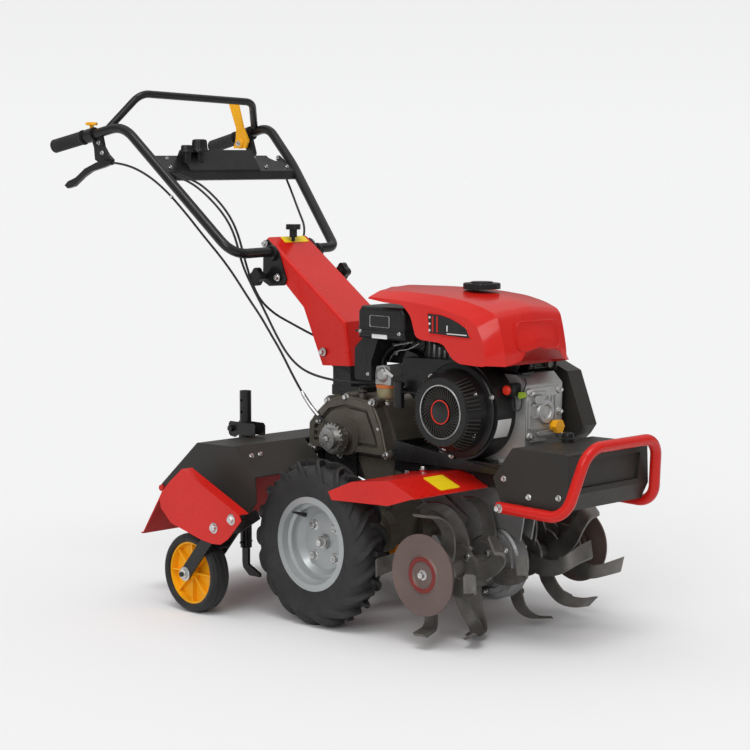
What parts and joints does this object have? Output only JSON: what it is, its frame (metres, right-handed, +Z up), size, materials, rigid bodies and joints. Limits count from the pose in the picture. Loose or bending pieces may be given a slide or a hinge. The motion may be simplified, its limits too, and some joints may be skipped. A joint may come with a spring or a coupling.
{
  "type": "mini tiller",
  "caption": "Two-wheel walk-behind mini tiller with a front tine rotor, engine, covers, drag stakes, two small rear wheels and a handlebar on a column.",
  "frame": {"origin": "on the floor under the middle of the machine", "axes": "+X ahead, away from the handlebar, +Y to the machine's left, +Z up"},
  "size_m": [1.7374, 0.8592, 1.2979],
  "materials": {
    "red_paint": "gloss",
    "dark_red_paint": "satin",
    "red_cover": "gloss",
    "black_paint": "satin",
    "charcoal_sheet": "satin",
    "black_plastic": "matte",
    "yellow_plastic": "satin",
    "tyre": "matte",
    "rubber": "matte",
    "silver_rim": "satin",
    "steel": "satin",
    "dark_steel": "satin",
    "bronze_casting": "satin",
    "grey_casting": "satin",
    "aluminium": "satin"
  },
  "bodies": {
    "chassis": {"axle_case": "bronze_casting", "gearbox": "bronze_casting", "base_frame": "black_paint", "tine_case": "grey_casting", "engine_block": "aluminium", "fan_shroud": "black_plastic", "recoil_starter": "black_plastic", "pull_handle": "black_plastic", "fuel_tank": "red_cover", "fuel_cap": "black_plastic", "air_cleaner": "black_plastic", "carburettor": "aluminium", "muffler": "dark_steel", "belt_guard": "charcoal_sheet", "oil_filler": "yellow_plastic", "front_box": "charcoal_sheet", "bumper": "red_paint", "fender_left": "red_paint", "fender_right": "red_paint", "rear_hood": "charcoal_sheet", "rear_frame": "black_paint", "side_plate_left": "red_paint", "side_plate_right": "red_paint", "wheel_arm_left": "black_paint", "wheel_arm_right": "black_paint", "stake_brackets": "black_paint", "column": "red_paint", "column_post": "black_paint", "handlebar_clamp": "black_paint", "star_knobs": "black_plastic", "cables_lower": "rubber"},
    "wheel_left": {"tyre_left": "tyre", "wheel_rim_left": "silver_rim", "wheel_axle_left": "steel"},
    "wheel_right": {"tyre_right": "tyre", "wheel_rim_right": "silver_rim", "wheel_axle_right": "steel"},
    "rear_wheel_left": {"small_tyre_left": "rubber", "small_hub_left": "yellow_plastic"},
    "rear_wheel_right": {"small_tyre_right": "rubber", "small_hub_right": "yellow_plastic"},
    "tine_rotor": {"tine_shaft": "dark_steel", "tines_left": "dark_steel", "tines_right": "dark_steel", "side_discs": "dark_steel"},
    "take_off_hub": {"drive_hub": "steel"},
    "flap": {"rear_flap": "dark_red_paint"},
    "stake_left": {"drag_stake_left": "black_paint"},
    "stake_right": {"drag_stake_right": "black_paint"},
    "handle": {"handlebar": "black_paint", "handle_grips": "rubber", "handlebar_bail": "black_paint", "control_panel": "black_plastic", "panel_knobs": "black_plastic", "brake_lever": "black_plastic", "lever_knob": "yellow_plastic", "clutch_lever": "yellow_plastic", "throttle_clamp": "black_plastic", "cables_upper": "rubber"}
  },
  "joints": [
    {"name": "main_wheel_left_spin", "type": "hinge", "parent": "chassis", "child": "wheel_left", "pos_m": [0.154, 0.265, 0.202], "axis": [0, 1, 0], "continuous": true},
    {"name": "main_wheel_right_spin", "type": "hinge", "parent": "chassis", "child": "wheel_right", "pos_m": [0.154, -0.265, 0.202], "axis": [0, 1, 0], "continuous": true},
    {"name": "rear_wheel_left_spin", "type": "hinge", "parent": "chassis", "child": "rear_wheel_left", "pos_m": [-0.174, 0.378, 0.099], "axis": [0, 1, 0], "continuous": true},
    {"name": "rear_wheel_right_spin", "type": "hinge", "parent": "chassis", "child": "rear_wheel_right", "pos_m": [-0.174, -0.378, 0.099], "axis": [0, 1, 0], "continuous": true},
    {"name": "tine_rotor_spin", "type": "hinge", "parent": "chassis", "child": "tine_rotor", "pos_m": [0.504, 0, 0.175], "axis": [0, 1, 0], "continuous": true},
    {"name": "take_off_hub_spin", "type": "hinge", "parent": "chassis", "child": "take_off_hub", "pos_m": [0.069, -0.11, 0.435], "axis": [0, 1, 0], "continuous": true},
    {"name": "rear_flap_hinge", "type": "hinge", "parent": "chassis", "child": "flap", "pos_m": [-0.348, 0, 0.286], "axis": [0, 1, 0], "range_deg": [-10, 60]},
    {"name": "drag_stake_left_slide", "type": "slide", "parent": "chassis", "child": "stake_left", "axis": [0, 0, 1], "range_m": [-0.04, 0.08]},
    {"name": "drag_stake_right_slide", "type": "slide", "parent": "chassis", "child": "stake_right", "axis": [0, 0, 1], "range_m": [-0.04, 0.08]},
    {"name": "handlebar_tilt", "type": "hinge", "parent": "chassis", "child": "handle", "pos_m": [-0.22, 0, 0.88], "axis": [0, 1, 0], "range_deg": [-10, 15]}
  ]
}
